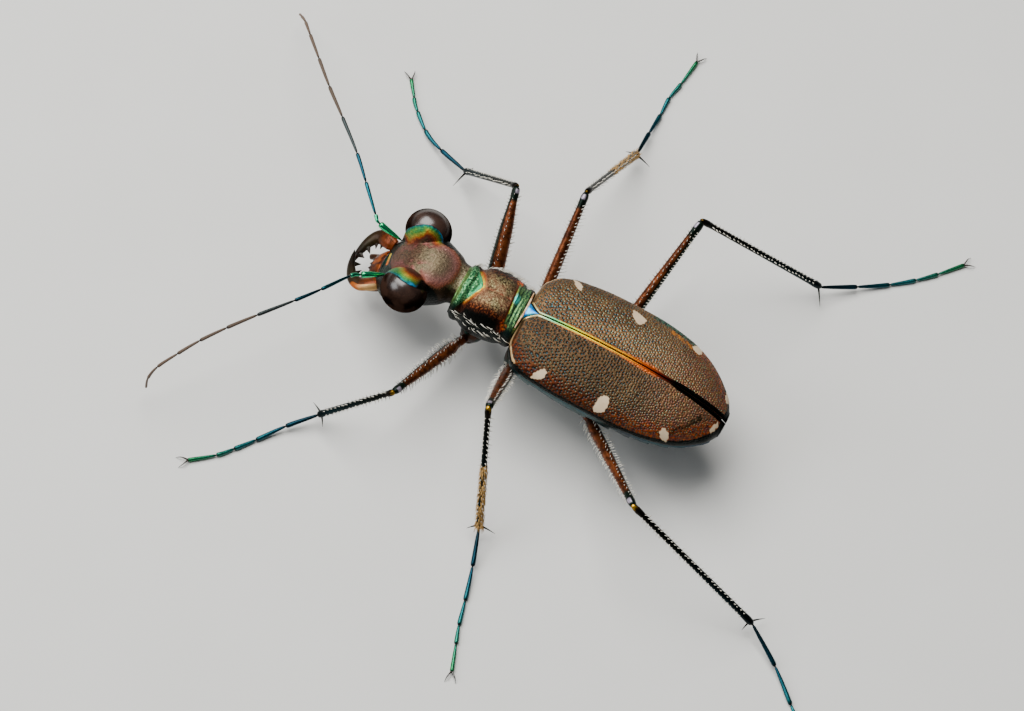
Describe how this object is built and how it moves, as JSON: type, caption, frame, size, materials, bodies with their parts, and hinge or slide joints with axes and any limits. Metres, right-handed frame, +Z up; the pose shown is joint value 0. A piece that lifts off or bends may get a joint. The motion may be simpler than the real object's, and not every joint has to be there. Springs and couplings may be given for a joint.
{
  "type": "tiger beetle",
  "caption": "A slender long-legged tiger beetle standing with its legs spread, big eyes, sickle jaws, spotted brown wing cases and long drooping feelers.",
  "frame": {"origin": "Centre of the bounding box on the floor, under the body", "axes": "The beetle faces -Y, its left side is +X and +Z is up"},
  "size_m": [0.0304, 0.0335, 0.0052],
  "materials": {
    "head": "coppery brown cuticle with a metallic sheen, finely wrinkled",
    "eyes": "glossy dark brown, smooth",
    "labrum": "orange, glossy, dark at the front teeth",
    "mandibles": "orange at the base, nearly black at the teeth",
    "palps": "amber brown, glossy",
    "scapes": "metallic green",
    "flagella": "matte grey brown, finely downy",
    "pronotum": "coppery brown with green rims, grooved across",
    "scutellum": "metallic blue",
    "elytra": "brown with dense metallic pits, ivory spots and a green-gold suture",
    "belly": "dark blue-green metallic",
    "coxae": "dark green metallic",
    "femora": "rusty brown with dark green edges",
    "tibiae": "nearly black with a green sheen",
    "tarsi": "metallic teal, black claws"
  },
  "bodies": {
    "root": {"head": "head", "eye_left": "eyes", "eye_right": "eyes", "labrum": "labrum", "mandible_left": "mandibles", "mandible_right": "mandibles", "maxillary_palp_left": "palps", "maxillary_palp_right": "palps", "labial_palp_left": "palps", "labial_palp_right": "palps", "antenna_left_scape": "scapes", "antenna_right_scape": "scapes", "antenna_left_flagellum": "flagella", "antenna_right_flagellum": "flagella", "pronotum": "pronotum", "scutellum": "scutellum", "elytron_left": "elytra", "elytron_right": "elytra", "thorax": "belly", "abdomen": "belly", "front_right_coxa": "coxae", "front_left_coxa": "coxae", "middle_right_coxa": "coxae", "middle_left_coxa": "coxae", "hind_right_coxa": "coxae", "hind_left_coxa": "coxae", "front_right_femur": "femora", "front_left_femur": "femora", "middle_right_femur": "femora", "middle_left_femur": "femora", "hind_right_femur": "femora", "hind_left_femur": "femora", "front_right_tibia": "tibiae", "front_left_tibia": "tibiae", "middle_right_tibia": "tibiae", "middle_left_tibia": "tibiae", "hind_right_tibia": "tibiae", "hind_left_tibia": "tibiae", "front_right_tarsus": "tarsi", "front_left_tarsus": "tarsi", "middle_right_tarsus": "tarsi", "middle_left_tarsus": "tarsi", "hind_right_tarsus": "tarsi", "hind_left_tarsus": "tarsi"}
  },
  "joints": []
}
